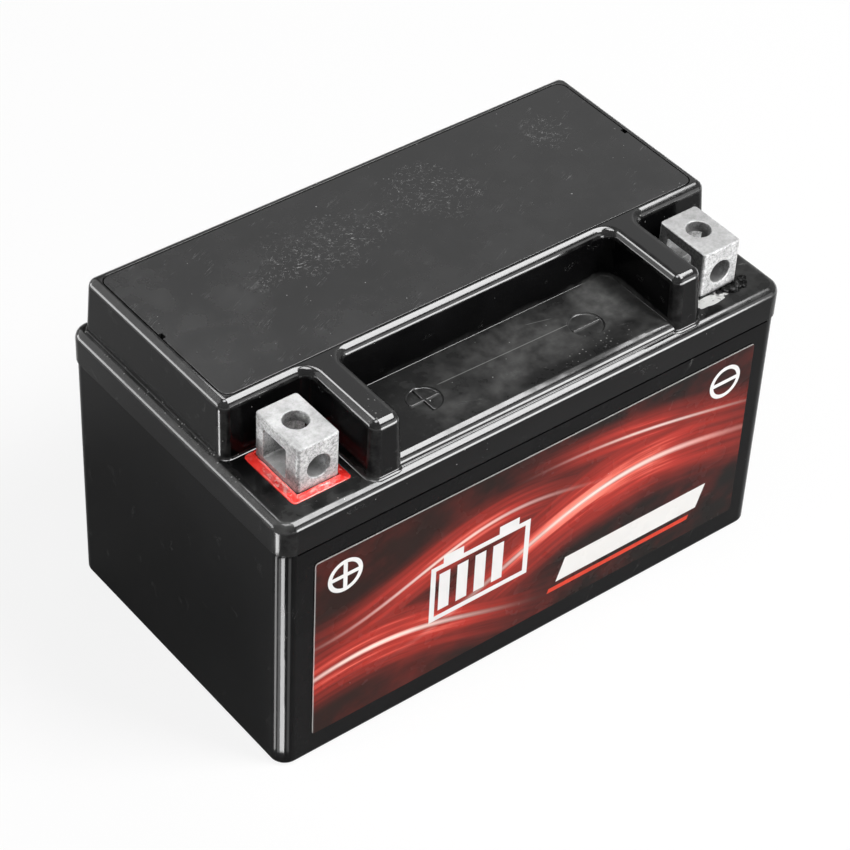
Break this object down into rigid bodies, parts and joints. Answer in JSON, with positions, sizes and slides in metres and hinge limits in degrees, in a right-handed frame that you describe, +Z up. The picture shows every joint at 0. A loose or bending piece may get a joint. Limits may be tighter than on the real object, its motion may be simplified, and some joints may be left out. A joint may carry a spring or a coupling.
{
  "type": "motorcycle battery",
  "caption": "Sealed lead-acid motorcycle battery with a black moulded case, a stepped lid, square bolt-on terminals in open front corners and a flat plate over the valves.",
  "frame": {"origin": "centre of the case's bottom, on the surface it stands on", "axes": "+X along the length from the positive terminal's end to the negative one, -Y out of the labelled front, +Z up"},
  "size_m": [0.15, 0.0864, 0.093],
  "materials": {
    "black_case_plastic": "glossy black polypropylene",
    "black_plate_plastic": "satin black polypropylene, lightly scuffed",
    "cast_terminal_metal": "cast lead alloy with a tinned, dull silver surface",
    "red_sealing_resin": "poured glossy red epoxy",
    "black_sealing_resin": "poured glossy black epoxy",
    "printed_label_film": "printed and laminated plastic film",
    "valve_rubber": "soft black rubber",
    "positive_plate_lead": "brown lead dioxide paste on a lead grid",
    "negative_plate_lead": "grey spongy lead paste on a lead grid",
    "glass_fibre_mat": "white glass-fibre mat",
    "bare_lead": "bare cast lead"
  },
  "bodies": {
    "battery": {"container": "black_case_plastic", "lid": "black_case_plastic", "lid_sealant": "black_sealing_resin", "cover_plate": "black_plate_plastic", "front_label": "printed_label_film", "positive_terminal": "cast_terminal_metal", "positive_terminal_seal": "red_sealing_resin", "positive_o_ring": "valve_rubber", "positive_post": "bare_lead", "negative_terminal": "cast_terminal_metal", "negative_terminal_seal": "black_sealing_resin", "negative_o_ring": "valve_rubber", "negative_post": "bare_lead", "positive_plates_1": "positive_plate_lead", "negative_plates_1": "negative_plate_lead", "glass_mat_1": "glass_fibre_mat", "positive_plates_2": "positive_plate_lead", "negative_plates_2": "negative_plate_lead", "glass_mat_2": "glass_fibre_mat", "positive_plates_3": "positive_plate_lead", "negative_plates_3": "negative_plate_lead", "glass_mat_3": "glass_fibre_mat", "positive_plates_4": "positive_plate_lead", "negative_plates_4": "negative_plate_lead", "glass_mat_4": "glass_fibre_mat", "positive_plates_5": "positive_plate_lead", "negative_plates_5": "negative_plate_lead", "glass_mat_5": "glass_fibre_mat", "positive_plates_6": "positive_plate_lead", "negative_plates_6": "negative_plate_lead", "glass_mat_6": "glass_fibre_mat", "cell_weld_1": "bare_lead", "cell_weld_2": "bare_lead", "cell_weld_3": "bare_lead", "cell_weld_4": "bare_lead", "cell_weld_5": "bare_lead"},
    "valve_1": {"valve_cap_1": "valve_rubber"},
    "valve_2": {"valve_cap_2": "valve_rubber"},
    "valve_3": {"valve_cap_3": "valve_rubber"},
    "valve_4": {"valve_cap_4": "valve_rubber"},
    "valve_5": {"valve_cap_5": "valve_rubber"},
    "valve_6": {"valve_cap_6": "valve_rubber"}
  },
  "joints": [
    {"name": "valve_1_lift", "type": "slide", "parent": "battery", "child": "valve_1", "axis": [0, 0, 1], "range_m": [0, 0.0008], "stiffness_N_per_m": 500},
    {"name": "valve_2_lift", "type": "slide", "parent": "battery", "child": "valve_2", "axis": [0, 0, 1], "range_m": [0, 0.0008], "stiffness_N_per_m": 500},
    {"name": "valve_3_lift", "type": "slide", "parent": "battery", "child": "valve_3", "axis": [0, 0, 1], "range_m": [0, 0.0008], "stiffness_N_per_m": 500},
    {"name": "valve_4_lift", "type": "slide", "parent": "battery", "child": "valve_4", "axis": [0, 0, 1], "range_m": [0, 0.0008], "stiffness_N_per_m": 500},
    {"name": "valve_5_lift", "type": "slide", "parent": "battery", "child": "valve_5", "axis": [0, 0, 1], "range_m": [0, 0.0008], "stiffness_N_per_m": 500},
    {"name": "valve_6_lift", "type": "slide", "parent": "battery", "child": "valve_6", "axis": [0, 0, 1], "range_m": [0, 0.0008], "stiffness_N_per_m": 500}
  ]
}
